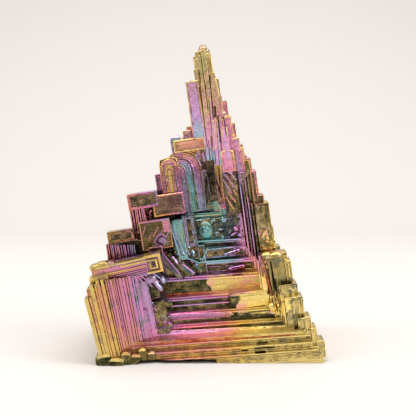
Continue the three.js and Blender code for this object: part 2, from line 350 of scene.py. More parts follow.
def growWell():
    block("main", 2, 17, 34, 51, -31, -27, bevel=0.2, bronze=1.5)
    for left, right, bottom, top, front, bronze in well["panels"]:
        block("main", left, right, bottom, top, -29, front, bevel=0.12, bronze=bronze,
              tone=random.uniform(-0.08, 0.06))
    for i in range(9):
        block("main", 6.8 + 0.55 * i, 7.1 + 0.6 * i, 39 + random.uniform(0, 5), 46 + random.uniform(0, 4),
              -28, -24.7 - random.uniform(0, 0.5), kind=ribKind, bevel=0.1, roll=random.uniform(-10, 10),
              bronze=(0.2, 1.6, 1.5)[i % 3])
    # a recess in the middle of the upper well, its floor in uneven steps
    for left, right, bottom, top, depth, bronze, tone, turn in well["recess"]:
        block("main", left, right, bottom, top, depth, -14, into="hollow", bronze=bronze, tone=tone,
              roll=turn, bevel=0.15)
    # crusted field under the back wall: a round drop, a small bright one, uneven crust between
    block("main", 5.8, 15.0, 28.4, 34.4, -25, -20.4, bronze=0.9, tone=0.1, bevel=0.3)
    block("main", 2.0, 6.2, 28.2, 34.2, -25, -20.8, bronze=1, tone=0.0, bevel=0.3)
    block("main", 2.2, 6.7, 28.5, 33.4, -21.5, -20.1, kind=lumpKind, round=0.97, tone=0.1, bronze=0.3)
    block("main", 3.3, 5.5, 29.9, 32.2, -20.9, -19.8, kind=lumpKind, round=0.95, tone=0.03, bronze=0.2)
    lump(13.0, 30.9, -19.3, 1.8, 1.7, 2, tone=-0.06)
    lump(12.2, 29.5, -19.4, 2.8, 0.7, 2, tone=-0.06, roll=18)
    for _ in range(well["crustLumps"]):
        lump(random.uniform(6, 15), random.uniform(28.4, 34.4), -20 - random.uniform(0, 0.5),
             random.uniform(0.8, 2.4), random.uniform(0.6, 1.8), 2, tone=random.uniform(-0.08, 0.06),
             bronze=random.choice((0, 0.7, 1.3, 1.3)), roll=random.uniform(-60, 60))


growWell()
print("laid out: well")

# ledges below: thin teal lips over dark hollows, a slab painted dark as shade, two lens-shaped loops
ledges = {
    "lips": [      # bottom, top, front, tone, painted shade
        (27.9, 28.3, -19.0, 0.12, 0), (25.6, 26.0, -18.7, 0.12, 0), (22.4, 22.9, -17.3, 0.14, 0),
        (18.6, 19.0, -15.9, 0, 0)],
    "loops": [      # x, y, turn
        (11.6, 20.6, 7), (10.9, 24.9, 14), (11.4, 18.9, 3)],
}


def growLedges():
    for bottom, top, front, tone, bronze in ledges["lips"]:
        block("main", -1.2, 14, bottom, top, -24, front, lie="level", kind=stripKind, bevel=0.1, tone=tone,
              bronze=bronze, roll=random.uniform(-0.5, 0.5))
    block("main", 3.6, 12, 23.4, 26.1, -22, -18.3, bevel=0.3, bronze=1, roll=-2)
    hopperFace("main", 3.6, 12, 23.4, 26.1, -18.3, rim=0.25, depth=0.3, levels=1, bronze=1)
    for x, y, turn in ledges["loops"]:
        block("main", x - 2.6, x + 2.6, y - 0.5, y + 0.5, -20, -16.4, lie="level", kind=lumpKind,
              round=0.6, bevel=0.1, roll=turn, tone=0.06, bronze=0)
        block("main", x - 1.6, x + 1.8, y - 0.2, y + 0.25, -18, -15, lie="level", kind=lumpKind, round=0.6,
              bevel=0.1, roll=turn, bronze=1.5, into="hollow")


growLedges()
print("laid out: ledges")

# upper left: overlapping blocks and thin plates
upperLeft = {
    "blocks": [      # left, right, bottom, top, front, depth, hollow rim, levels, painted shade
        (2.5, 5, 55, 60.3, -21, 4, 0.4, 2, 0.2), (-1.3, 2.2, 52, 58.3, -20, 5, 0.5, 2, 0.2),
        (-7, -3.6, 41, 49.3, -20, 6, 0.45, 3, 0.9), (-8.1, 0.5, 38, 43.7, -12.2, 7, 0.22, 1, 0.85),
        (-14.8, -6.5, 40.7, 45.0, -13, 8, 0.22, 2, 1), (-14.3, -3, 24, 40.6, -17, 12, 0, 0, 1.3),
        (-12.3, -4.2, 29.6, 37.3, -10, 8, 0, 0, 0.85), (-21, -13.8, 32.8, 36.0, -8.5, 5, 0.3, 2, 1.1),
        (-22.3, -12, 18, 32.4, -12, 12, 0, 0, 1.3)],
}


def growUpperLeft():
    for left, right, bottom, top, front, depth, rim, levels, bronze in upperLeft["blocks"]:
        tone = -0.25 if bronze == 0.85 else 0
        block("upper", left, right, bottom, top, front - depth, front, bevel=0.12, bronze=bronze, tone=tone)
        if levels:
            low = bottom if top - bottom < 8 else top - 5
            hopperFace("upper", left, right, low, top, front, rim=rim, depth=0.3, levels=levels,
                       bronze=bronze, tone=tone)
    block("upper", -0.4, 8.3, 54.4, 57.8, -21, -17, bevel=0.14, bronze=0.3, tone=-0.3)
    hopperFace("upper", -0.4, 8.3, 54.4, 57.8, -17, rim=0.2, depth=0.12, levels=1, bronze=0.35, tone=-0.17)
    # rows of thin ribs under the two left plates
    for i in range(14):
        block("upper", -21.9 + 0.56 * i, -21.6 + 0.56 * i, 20, 32.7 - 0.08 * i, -16, -8.9 - 0.5 * (i % 3),
              kind=ribKind, bevel=0.05, tone=0.2 + 0.1 * (i % 2), bronze=0, roll=random.uniform(-1, 1))
    for i in range(7):
        block("upper", -14.7 + 0.62 * i, -14.35 + 0.62 * i, 34, 40.8, -18, -13.3 - 0.5 * (i % 3),
              kind=ribKind, bevel=0.05, tone=0.08 * (i % 2), bronze=0, roll=random.uniform(-1.5, 1.5))
    for _ in range(12):
        lump(random.uniform(-11, -8.6), random.uniform(36.8, 40.2), -14.6, random.uniform(0.6, 1.6),
             random.uniform(0.6, 1.6), 2, bronze=random.choice((0, 1.3)), grainName="upper")
    shards(14, "upper", 5, 9.6, 50.5, 54, -20.5, -17.5, 3.4, bronze=0.2, spread=20)
    for _ in range(12):
        lump(random.uniform(0.2, 4.4), random.uniform(56.6, 59), -20.6, random.uniform(0.6, 1.5),
             random.uniform(0.6, 1.5), 3, bronze=random.choice((0, 1.6, 1.8)), grainName="upper", tone=0.15)
    block("upper", -1.3, 1.8, 53, 58.9, -24, -19.4, kind=archKind, arch=0.3, bronze=0, tone=0.2, bevel=0.2)
    block("upper", 0, 7, 49, 56, -26, -20.6, bronze=1.3)


growUpperLeft()
print("laid out: upper left blocks")

# arched plates: nested shells that sweep down to the right, and a streaked block before them
arches = {
    "plates": 9,              # nested, each with its own painted shade and tone
    "plateShade": (0.9, 0.8, 0.2, 0, 0.9, 0, 0, 0.7, 0),
    "plateTone": (-0.35, -0.3, -0.2, -0.1, 0, 0, 0.1, 0, 0),
    "smallTone": (-0.2, 0.0, -0.35, -0.1, -0.4),
}


def growArches():
    for i in range(arches["plates"]):
        block("upper", -3.6 + 0.2 * i, 7.0 - 0.72 * i, 37.5, 55.4 - 0.62 * i, -26, -19.6 + 0.3 * i,
              kind=archKind, arch=0.95, bevel=0.1, bronze=arches["plateShade"][i],
              tone=arches["plateTone"][i])
    block("upper", -5.1, 0.2, 44, 53.4, -20, -15.6, kind=archKind, arch=0.45, bevel=0.12, bronze=0.9,
          tone=-0.15)
    for i in range(5):
        block("upper", -4.7 + 0.45 * i, -0.2 - 0.45 * i, 44, 53.0 - 0.8 * i, -20, -15.4 + 0.2 * i,
              kind=archKind, arch=1.0, bevel=0.06, bronze=0.5 * (i % 2), tone=arches["smallTone"][i])


growArches()
print("laid out: arched plates")

# ledges between the base hollow and the left blocks, crowded with small growth
middleGrowth = {
    "splinters": [      # x, y, turn
        (1.2, 24.9, 42), (3.4, 24.9, -32), (0.2, 23.6, 60)],
    "teal": [      # x, low, top, turn, tone
        (-5.9, 20, 27, 31, 0.0), (-1.6, 19.4, 23.2, 43, 0.14)],
    "flowLumps": 26,          # drops along the growth that runs down to the right
}


def growMiddle():
    block("main", -8, 3.5, 14, 27, -30, -17.5, bronze=1)
    block("main", -5.5, 1.2, 14, 34, -30, -19, bronze=1.2)
    block("main", -1.4, 2.0, 24, 36.2, -28, -15.7, tone=0.0, bronze=1.2, bevel=0.15)
    hopperFace("main", -1.4, 2.0, 27.2, 36.2, -15.7, rim=0.4, depth=0.25, levels=2, bronze=1.1)
    block("main", -4.4, -1.2, 24, 35.3, -26, -15.4, kind=archKind, arch=0.3, bronze=0.3, bevel=0.2,
          tone=0.14)
    for i in range(5):
        block("main", -4.3 + 0.6 * i, -3.9 + 0.6 * i, 25, 34.9 - 0.9 * i, -20, -14.9 - 0.15 * i,
              kind=ribKind, bevel=0.12, bronze=(0, 1.2)[i % 2], roll=8 + 3 * i, tone=0.14)
    for _ in range(12):
        lump(random.uniform(-4.6, 0.6), random.uniform(24.5, 30), -15 - random.uniform(0, 0.8),
             random.uniform(0.6, 1.6), random.uniform(1, 3), 2.4, tone=0.14,
             bronze=random.choice((0, 0.4, 1.3)), roll=random.uniform(10, 60))
    for x, y, turn in middleGrowth["splinters"]:
        block("main", x - 0.16, x + 0.16, y - 1.9, y + 1.9, -20, -15.2 - 0.5 * x, kind=ribKind, bevel=0.08,
              roll=turn, bronze=0, tone=0.16)
    # a small ledge under the plate, then growth that runs down to the right in bent, nested plates
    block("main", -11.4, -7.4, 26.4, 28.9, -16, -11.6, bevel=0.2, bronze=1)
    hopperFace("main", -11.4, -7.4, 26.0, 28.9, -11.6, rim=0.3, depth=0.4, levels=2, bronze=1.2)
    for i in range(6):
        block("main", -7.4 + 1.3 * i, -6.0 + 1.3 * i, 18.2 + 0.1 * i, 28.0 - 0.7 * i, -26, -13.6 - 0.6 * i,
              kind=archKind, arch=0.9, bevel=0.3, roll=34 + 3 * i, bronze=(0.9, 1.5, 1.0)[i % 3],
              tone=(0.04, 0, 0.16)[i % 3])
    for x, low, top, turn, tone in middleGrowth["teal"]:
        block("main", x, x + 0.35, low, top, -26, -13.2 - 0.42 * (x + 6), kind=ribKind, bevel=0.1,
              roll=turn, bronze=0, tone=tone)
    for _ in range(middleGrowth["flowLumps"]):
        along = random.uniform(0, 1)
        lump(-8 + 8 * along + random.uniform(-1.2, 1.2), 27 - 6.5 * along + random.uniform(-1.6, 1.6),
             -13.6 - 3 * along, random.uniform(0.7, 2), random.uniform(1.4, 3.4), 3,
             bronze=random.choice((0, 1.2, 1.6)), roll=random.uniform(25, 60),
             tone=random.uniform(-0.12, 0.08))
    for i in range(9):
        y, long = random.uniform(31.6, 34), random.uniform(1.4, 3.4)
        block("upper", -11.4 + 0.75 * i, -11.15 + 0.75 * i, y, y + long, -12, -9.9, kind=ribKind, bevel=0.1,
              roll=random.uniform(-38, -14), bronze=random.choice((0, 0.8, 1.4)))
    block("upper", -6.2, -4.25, 33.8, 37.25, -12, -9.9, bevel=0.2, bronze=0.1, tone=-0.16)
    block("upper", -12.3, -4.2, 36.9, 37.35, -12, -9.8, lie="level", kind=stripKind, bevel=0.05, bronze=0)
    block("upper", -12.35, -12.0, 29.6, 37.3, -12, -9.8, kind=ribKind, bevel=0.05, bronze=0)
    # a swirl of thin curved lips on the plate
    for i in range(3):
        block("upper", -8.6 + 0.5 * i, -6.1 + 0.2 * i, 30.3 + 0.3 * i, 33.6 - 0.5 * i, -11, -9.6 + 0.2 * i,
              kind=archKind, arch=1, bevel=0.1, roll=-38, bronze=(0, 1.4, 0)[i], tone=(0, 0, 0.06)[i])


growMiddle()
print("laid out: growth between the hollow and the left blocks")

# left wing: a fan of upright ribs that steps back to the right
wing = {
    "left": -25.6,            # the fan fills the space between these two
    "right": -14.2,
    "gap": 0.08,
    "ribWidths": (0.28, 0.4, 0.6, 0.8),
    "sideRibs": 10,           # tall ribs along the left side, front to back
    "sidePitch": 2.9,
}


def growWing():
    wingLeft, i = wing["left"], 0
    while wingLeft < wing["right"]:
        t = (wingLeft - wing["left"]) / (wing["right"] - wing["left"])
        wide = random.choice(wing["ribWidths"]) if i > 3 else (1.0, 0.6, 0.9, 0.4)[i]
        top = 22 if i < 2 else (25 if i < 4 else 26.2 - 1.6 * t + random.uniform(-0.3, 0.1))
        front = 1.6 - 5.6 * t + random.choice((0, 0.15, 0.35, 0.6))
        block("", wingLeft, wingLeft + wide, restDepth, top, front - 8, front, kind=ribKind, bevel=0.07,
              axes=grain(9, 13 - 4 * t), tone=-0.1 + 0.2 * t + (0, 0.06, -0.04)[i % 3], bronze=0.1,
              roll=random.uniform(-0.25, 0.25))
        wingLeft, i = wingLeft + wide + wing["gap"], i + 1
    for i in range(6):
        block("", -24.9 + 2 * i, -22.7 + 2 * i, restDepth, 24, -32, 0.6 - 1.1 * i,
              axes=grain(9, 12.6 - 0.7 * i), bronze=0.3, tone=0.1)
    for i in range(wing["sideRibs"]):
        w = -3 - wing["sidePitch"] * i
        block("", -25.2 - 0.35 * (i % 3), -22, restDepth, 23.6 - 0.9 * i, w - 2.2, w, kind=ribKind,
              axes=grain(9, 12.6), bronze=0.35, tone=0.06 * (i % 2), bevel=0.15)
        block("", -25.9 + 0.2 * (i % 2), -22, restDepth, 14 - 1.1 * (i % 4), w - 1.6, w - 0.6,
              kind=ribKind, axes=grain(9, 12.6), bronze=0.2, tone=-0.1, bevel=0.1)
    block("", -17.6, -11, restDepth, 22.6, -32, -4.4, axes=grain(9, 10), bevel=0.3, bronze=0, tone=0.12)
    block("", -17.8, -12.4, restDepth, 15.6, -32, -3.9, axes=grain(9, 10), bevel=0.4, bronze=0.2, tone=0.08)
    block("", -13.6, -8.6, restDepth, 16.4, -32, -6.4, axes=grain(9, 6), bevel=0.8, bronze=1.25)
    block("", -13, -8, restDepth, 9.4, -32, -5.5, axes=grain(9, 6), bevel=0.8, bronze=0.9, tone=0.1)
    for _ in range(22):
        x, y = random.uniform(-14, -8.8), random.uniform(8, 17.5)
        block("", x, x + random.uniform(0.8, 2.4), y, y + random.uniform(0.6, 2), -8.4,
              -6.4 + 0.05 * (17 - y), kind=lumpKind, round=0.6, axes=grain(9, 6),
              bronze=random.choice((0.5, 1.1, 1.3)), tone=random.uniform(0, 0.15),
              roll=random.uniform(-50, 50))
    for i in range(7):
        block("", -17.4, -12.4, 7 + 1.2 * i, 7.25 + 1.2 * i, -6, -3.75, lie="level", kind=stripKind,
              axes=grain(9, 10), bevel=0.05, tone=0.1, roll=random.uniform(-2, 2))


growWing()
print("laid out: wing")

# the bar: a long thin plate with raised edges, its free end a square spiral
bar = {
    "swellings": [      # x, width, height
        (-22.4, 3, 1.3), (-20.6, 3.4, 1.9), (-18.6, 3, 1.1)],
    "squareEnd": [      # left, right, bottom, top, front
        (-9.6, -5.3, 29.45, 30.1, -1.6), (-5.95, -5.3, 25.4, 30.1, -1.5),
        (-9.4, -5.3, 25.4, 25.95, -1.7), (-6.9, -6.4, 26.5, 28.9, -1.8), (-8.5, -6.4, 26.5, 26.9, -1.85),
        (-9.2, -6.4, 28.6, 28.95, -1.85), (-8.5, -8.15, 26.5, 28, -1.9)],
    "drops": [      # x, y, w, width, height, turn
        (-9.4, 23.4, -4.0, 3.4, 2.6, 20), (-8.0, 21.4, -4.4, 1.6, 4.4, 25),
        (-12.0, 22.8, -4.4, 1.3, 0.9, 0), (-6.4, 22.4, -4.4, 1.5, 2.4, 20)],
}


def growBar():
    block("bar", -23.4, -8, 27.5, 29.7, -8, -2.9, lie="level", kind=stripKind, bronze=0, tone=0.12)
    block("bar", -16.4, -8.6, 28.2, 29.1, -8, -2.6, lie="level", kind=lumpKind, round=0.35, bevel=0.1,
          bronze=0, tone=-0.3)
    block("bar", -23.2, -8.8, 27.4, 27.8, -6, -2.5, lie="level", kind=stripKind, bevel=0.06, bronze=0,
          tone=-0.02)
    block("bar", -22.4, -8.8, 29.3, 29.75, -6, -2.5, lie="level", kind=stripKind, bevel=0.06, bronze=0,
          tone=-0.24)
    block("bar", -24.3, -19.4, 26.4, 27.6, -7, -1.8, lie="level", kind=stripKind, bevel=0.25, bronze=0)
    for x, width, height in bar["swellings"]:
        block("bar", x - width / 2, x + width / 2, 29.4 - height / 2, 29.8 + height / 2, -7, -2.9,
              kind=lumpKind, round=0.6, bevel=0.1, bronze=0.2, tone=0.04)
    block("bar", -9.4, -5.3, 25.4, 30.1, -6, -2.3, bevel=0.15, bronze=0.8, tone=0)
    for left, right, bottom, top, front in bar["squareEnd"]:
        block("bar", left, right, bottom, top, -6, front, bevel=0.12, tone=-0.3, bronze=0,
              roll=random.uniform(-1.5, 1.5))
    lump(-7.5, 27.8, -1.9, 0.8, 1, 2, tone=-0.2, bronze=1.5, grainName="bar")
    # thin ledges under the bar, then plates that fan down to the right
    for i in range(5):
        block("bar", -21 + 0.7 * i, -8, 26.9 - 0.55 * i, 27.2 - 0.55 * i, -9, -3.2 - 0.3 * i, lie="level",
              kind=stripKind, bevel=0.05, bronze=0, tone=0.1 + 0.04 * (i % 2),
              roll=random.uniform(-0.8, 0.8))
    block("bar", -21, -8, 18, 25.4, -18, -5.6, bronze=1.2)
    for i in range(9):
        block("bar", -15.6 + 0.95 * i, -15.2 + 0.95 * i, 19.6 + 0.3 * i, 26.2, -9, -3.9 - 0.12 * i,
              kind=ribKind, bevel=0.08, bronze=0, roll=14 + 3.4 * i,
              tone=0.08 + random.uniform(-0.05, 0.05))
    for x, y, w, width, height, turn in bar["drops"]:
        lump(x, y, w, width, height, 3, bronze=0, roll=turn, grainName="bar", tone=0.08)


growBar()
print("laid out: bar")

# foot: knobs of metal where the wing meets the ground
foot = {
    "lumps": [      # x, y, w, width, height
        (-25.1, 4.4, 2.2, 4.6, 5.2), (-22.4, 3.4, 2.4, 5.4, 4.4), (-19.6, 4.2, 1.5, 3.2, 4.6),
        (-17.4, 3.2, 1.1, 3.8, 4.4), (-15.3, 4.0, 0.4, 2.6, 5.2), (-13.4, 3.4, 0.1, 2.8, 3.6)],
}


def growFoot():
    for x, y, w, width, height in foot["lumps"]:
        block("", x - width / 2, x + width / 2, y - height / 2, y + height / 2, w - 7, w, kind=lumpKind,
              round=0.5, bevel=0.5, axes=grain(9, 10), bronze=random.choice((0.8, 1.0, 1.2)), tone=-0.15,
              roll=random.uniform(-12, 12))


growFoot()
print("laid out: foot")

# sides and back: storeys step in, their faces hollow between upright ribs
storeys = {
    "count": 13,
    "lowest": 3,         # top of the first storey, and how far the last one is above it
    "climb": 76,
    "back": -44,         # the back face, and how far it comes forward for each millimetre up
    "lean": 0.2,
}


def growStoreys():
    for k in range(storeys["count"]):
        t = k / (storeys["count"] - 1)
        top = storeys["lowest"] + storeys["climb"] * t
        right = 31 - 0.235 * top
        left = max(-25 + 0.02 * top, -44 + 0.8 * top) if top < 58 else 2.4 + 0.25 * (top - 58)
        back = storeys["back"] + storeys["lean"] * top
        sill = min(1.5 + 3 * k, top)
        wide = min(3, (right - left) / 3)
        for a, b in ((right - wide, right), (left, left + wide)):
            block("main", a, b, restDepth, top, back, back + 4, kind=ribKind, bronze=0.5)
            block("main", a + 0.4, b - 0.4, top - 14 if top > 14 else restDepth, top - 0.9, back - 0.25,
                  back + 3, kind=ribKind, copies=2, step=(0, -0.35, -0.1), growth=(-0.7, 0, 0), bevel=0.06,
                  bronze=0.2)
        block("main", left + 0.5, right - 0.5, restDepth, sill, back + 0.5, -25, lie="level",
              kind=stripKind)
        block("main", left + 0.5, right - 0.5, sill - 2.9, sill - 2, back + 0.1, -25, lie="level",
              kind=stripKind, copies=3, step=(0, 0.8, 0.1), bevel=0.06, bronze=0.3)
        block("main", left + 2, right - 2.2, restDepth, top - 1.5, back + 2.6 + 2.4 * (1 - t), -27.5)


growStoreys()
print("laid out: sides and back")

# the whole is cut flat where it rests, with a shallow hollow under the front edge
cuts = {
    "archUnder": (-17, 3, -4, 0.9, -4, 8),       # left, right, bottom, top, back, front
}


def cutFlat():
    levelAxes = (Vector((1, 0, 0)), Vector((0, 0, 1)), Vector((0, -1, 0)))
    block("", -60, 60, -40, 0, -90, 30, axes=levelAxes, into="hollow", bevel=0)
    block("", *cuts["archUnder"], axes=levelAxes, into="hollow", bevel=0.5)


cutFlat()
print("blocks laid out:", {k: len(v) for k, v in seeds.items()})


# node helpers
def newTree(name, inputs, outputs=(("Geometry", "NodeSocketGeometry"),)):
    tree = bpy.data.node_groups.new(name, "GeometryNodeTree")
    for label, form, *start in inputs:
        socket = tree.interface.new_socket(label, in_out="INPUT", socket_type=form)
        if start:
            socket.default_value = start[0]
    for label, form in outputs:
        tree.interface.new_socket(label, in_out="OUTPUT", socket_type=form)
    return tree, tree.nodes.new("NodeGroupInput"), tree.nodes.new("NodeGroupOutput")


def add(tree, kind, ins=None, **props):
    node = tree.nodes.new(kind)
    for key, value in props.items():
        setattr(node, key, value)
    for key, value in (ins or {}).items():
        socket = node.inputs[key]
        if isinstance(value, bpy.types.NodeSocket):
            tree.links.new(value, socket)
        elif isinstance(value, bpy.types.Node):
            tree.links.new(value.outputs[0], socket)
        else:
            socket.default_value = value
    return node


def named(tree, label, form):
    node = add(tree, "GeometryNodeInputNamedAttribute", {"Name": label}, data_type=form)
    return node.outputs["Attribute"]


def calc(tree, operation, *values):
    return add(tree, "ShaderNodeMath", dict(enumerate(values)), operation=operation).outputs[0]


def vec(tree, operation, *values):
    node = add(tree, "ShaderNodeVectorMath", operation=operation)
    for i, value in enumerate(values):
        socket = node.inputs["Scale"] if operation == "SCALE" and i == 1 else node.inputs[i]
        if isinstance(value, bpy.types.NodeSocket):
            tree.links.new(value, socket)
        else:
            socket.default_value = value
    return node.outputs["Value"] if operation in ("LENGTH", "DISTANCE", "DOT_PRODUCT") else node.outputs[0]


def keep(tree, geometry, label, value, form="FLOAT_VECTOR", domain="POINT"):
    node = add(tree, "GeometryNodeStoreNamedAttribute", {
        "Geometry": geometry, "Name": label, "Value": value}, data_type=form, domain=domain)
    return node.outputs["Geometry"]


def blockShapes():
    # seeds in, one bevelled and slightly wavy block out per copy, each as its own instance
    tree, source, sink = newTree("blockShapes", (
        ("Seeds", "NodeSocketGeometry"), ("Waviness", "NodeSocketFloat", 0.05 * mm),
        ("Wave Scale", "NodeSocketFloat", 300.0), ("Seed", "NodeSocketInt", 3)))
    copied = add(tree, "GeometryNodeDuplicateElements", {
        "Geometry": source.outputs["Seeds"], "Amount": named(tree, "copies", "INT")}, domain="POINT")
    index = copied.outputs["Duplicate Index"]
    moved = add(tree, "GeometryNodeSetPosition", {
        "Geometry": copied.outputs[0],
        "Offset": vec(tree, "SCALE", named(tree, "step", "FLOAT_VECTOR"), index)}).outputs[0]
    grownSize = vec(tree, "ADD", named(tree, "size", "FLOAT_VECTOR"),
                    vec(tree, "SCALE", named(tree, "growth", "FLOAT_VECTOR"), index))
    points = keep(tree, moved, "size", grownSize)
    points = keep(tree, points, "middle", add(tree, "GeometryNodeInputPosition").outputs[0])
    points = keep(tree, points, "block", add(tree, "GeometryNodeInputIndex").outputs[0], "INT")
    # unit blocks: plain, upright rib, level strip, lump, arch; the last one linked is picked as number 0
    kinds = add(tree, "GeometryNodeGeometryToInstance")
    for grid in reversed(((4, 4, 4), (4, 8, 4), (10, 4, 4), (8, 8, 6), (10, 12, 4))):
        cube = add(tree, "GeometryNodeMeshCube", {
            "Size": (1, 1, 1), "Vertices X": grid[0], "Vertices Y": grid[1], "Vertices Z": grid[2]})
        shape = keep(tree, cube.outputs[0], "corner", add(tree, "GeometryNodeInputPosition").outputs[0])
        # brings the inner grid lines out to the bevel
        shape = keep(tree, shape, "spread", tuple(1 / (1 - 2 / (n - 1)) for n in grid))
        tree.links.new(shape, kinds.inputs[0])
    placed = add(tree, "GeometryNodeInstanceOnPoints", {
        "Points": points, "Instance": kinds.outputs[0], "Pick Instance": True,
        "Instance Index": named(tree, "kind", "INT")})
    solid = add(tree, "GeometryNodeRealizeInstances", {"Geometry": placed.outputs[0]}).outputs[0]
    # bevelled corners
    corner, spread = named(tree, "corner", "FLOAT_VECTOR"), named(tree, "spread", "FLOAT_VECTOR")
    half = vec(tree, "SCALE", named(tree, "size", "FLOAT_VECTOR"), 0.5)
    bevel = named(tree, "bevel", "FLOAT")
    least = add(tree, "ShaderNodeSeparateXYZ", {0: half})
    bevel = calc(tree, "MINIMUM", bevel, calc(tree, "MULTIPLY", 0.45, calc(
        tree, "MINIMUM", least.outputs[0], calc(tree, "MINIMUM", least.outputs[1], least.outputs[2]))))
    outer = vec(tree, "FLOOR", vec(tree, "SCALE", vec(tree, "ABSOLUTE", corner), 2.02))
    count = vec(tree, "DOT_PRODUCT", outer, (1, 1, 1))
    pull = calc(tree, "MULTIPLY", bevel, calc(tree, "MULTIPLY", 0.3, calc(
        tree, "GREATER_THAN", count, 1.5)))
    inset = vec(tree, "SUBTRACT", half, vec(tree, "SCALE", (1, 1, 1), bevel))
    inner = vec(tree, "MULTIPLY", vec(tree, "SCALE", vec(tree, "MULTIPLY", corner, spread), 2.0), inset)
    edge = vec(tree, "MULTIPLY", vec(tree, "SIGN", corner), vec(
        tree, "SUBTRACT", half, vec(tree, "SCALE", (1, 1, 1), pull)))
    local = vec(tree, "ADD", vec(tree, "MULTIPLY", edge, outer),
                vec(tree, "MULTIPLY", inner, vec(tree, "SUBTRACT", (1, 1, 1), outer)))
    # an arch rounds the two top corners, a lump rounds everything
    squareLocal = local
    flat = add(tree, "ShaderNodeSeparateXYZ", {0: local})
    high = add(tree, "ShaderNodeSeparateXYZ", {0: half})
    spring = calc(tree, "SUBTRACT", high.outputs[1], high.outputs[0])
    px = calc(tree, "DIVIDE", flat.outputs[0], high.outputs[0])
    py = calc(tree, "DIVIDE", calc(tree, "SUBTRACT", flat.outputs[1], spring), high.outputs[0])
    boxed = calc(tree, "MAXIMUM", calc(tree, "ABSOLUTE", px), calc(tree, "ABSOLUTE", py))
    circled = calc(tree, "MAXIMUM", 0.001, calc(tree, "POWER", calc(
        tree, "ADD", calc(tree, "MULTIPLY", px, px), calc(tree, "MULTIPLY", py, py)), 0.5))
    pullIn = calc(tree, "MULTIPLY", calc(tree, "MULTIPLY", named(tree, "arch", "FLOAT"), calc(
        tree, "GREATER_THAN", py, 0.0)), calc(tree, "SUBTRACT", 1.0, calc(tree, "DIVIDE", boxed, circled)))
    left = calc(tree, "SUBTRACT", 1.0, pullIn)
    local = add(tree, "ShaderNodeCombineXYZ", {
        0: calc(tree, "MULTIPLY", flat.outputs[0], left),
        1: calc(tree, "ADD", spring, calc(tree, "MULTIPLY", calc(
            tree, "SUBTRACT", flat.outputs[1], spring), left)),
        2: flat.outputs[2]}).outputs[0]
    ball = vec(tree, "MULTIPLY", vec(tree, "NORMALIZE", corner), half)
    rounding = named(tree, "round", "FLOAT")
    local, squareLocal = (vec(tree, "ADD", l, vec(tree, "SCALE", vec(tree, "SUBTRACT", ball, l), rounding))
                          for l in (local, squareLocal))
    turned = add(tree, "FunctionNodeRotateVector", {
        "Vector": local, "Rotation": named(tree, "turn", "QUATERNION")}).outputs[0]
    spot = vec(tree, "ADD", named(tree, "middle", "FLOAT_VECTOR"), turned)
    wave = add(tree, "ShaderNodeTexNoise", {
        "Vector": spot, "W": source.outputs["Seed"], "Scale": source.outputs["Wave Scale"], "Detail": 2.0},
        noise_dimensions="4D")
    wobble = vec(tree, "SCALE", vec(tree, "SUBTRACT", wave.outputs["Color"], (0.5, 0.5, 0.5)),
                 calc(tree, "MULTIPLY", 2.0, source.outputs["Waviness"]))
    # the block's own coordinates stay with its faces for the finish
    solid = keep(tree, solid, "local", squareLocal, domain="CORNER")
    solid = keep(tree, solid, "extent", named(tree, "size", "FLOAT_VECTOR"), domain="CORNER")
    solid = keep(tree, solid, "blockTone", named(tree, "tone", "FLOAT"), "FLOAT", "CORNER")
    solid = keep(tree, solid, "blockBronze", named(tree, "bronze", "FLOAT"), "FLOAT", "CORNER")
    lot = add(tree, "FunctionNodeRandomValue", {
        "ID": named(tree, "block", "INT"), "Seed": source.outputs["Seed"]})
    solid = keep(tree, solid, "lot", lot.outputs[1], "FLOAT", "CORNER")
    solid = add(tree, "GeometryNodeSetPosition", {
        "Geometry": solid, "Position": vec(tree, "ADD", spot, wobble)}).outputs[0]
    apart = add(tree, "GeometryNodeSplitToInstances", {
        "Geometry": solid, "Group ID": named(tree, "block", "INT")}, domain="POINT")
    tree.links.new(apart.outputs[0], sink.inputs[0])
    return tree


def crystalTree(shapes):
    tree, source, sink = newTree("crystalGrowth", (
        ("Geometry", "NodeSocketGeometry"), ("Hollows", "NodeSocketObject"),
        ("Waviness", "NodeSocketFloat", 0.05 * mm), ("Wave Scale", "NodeSocketFloat", 300.0),
        ("Seed", "NodeSocketInt", 3), ("Finish", "NodeSocketMaterial")))
    common = {k: source.outputs[k] for k in ("Waviness", "Wave Scale", "Seed")}
    grown = add(tree, "GeometryNodeGroup", node_tree=shapes)
    tree.links.new(source.outputs["Geometry"], grown.inputs["Seeds"])
    cuts = add(tree, "GeometryNodeGroup", node_tree=shapes)
    info = add(tree, "GeometryNodeObjectInfo", {"Object": source.outputs["Hollows"]})
    tree.links.new(info.outputs["Geometry"], cuts.inputs["Seeds"])
    for group in (grown, cuts):
        for key, value in common.items():
            tree.links.new(value, group.inputs[key])
    joined = add(tree, "GeometryNodeMeshBoolean", operation="UNION", solver="MANIFOLD")
    tree.links.new(grown.outputs[0], joined.inputs["Mesh 2"])
    carved = add(tree, "GeometryNodeMeshBoolean", operation="DIFFERENCE", solver="MANIFOLD")
    tree.links.new(joined.outputs[0], carved.inputs["Mesh 1"])
    tree.links.new(cuts.outputs[0], carved.inputs["Mesh 2"])
    # crumbs cut loose by the hollows are dropped
    island = add(tree, "GeometryNodeInputMeshIsland")
    points = add(tree, "GeometryNodeAccumulateField", {
        "Value": 1.0, "Group ID": island.outputs["Island Index"]})
    whole = add(tree, "GeometryNodeDeleteGeometry", {
        "Geometry": carved.outputs[0],
        "Selection": calc(tree, "LESS_THAN", points.outputs["Total"], 1000.0)})  # points in a crumb
    plain = add(tree, "GeometryNodeRealizeInstances", {"Geometry": whole.outputs[0]})
    done = add(tree, "GeometryNodeSetMaterial", {
        "Geometry": plain.outputs[0], "Material": source.outputs["Finish"]})
    tree.links.new(done.outputs[0], sink.inputs[0])
    return tree


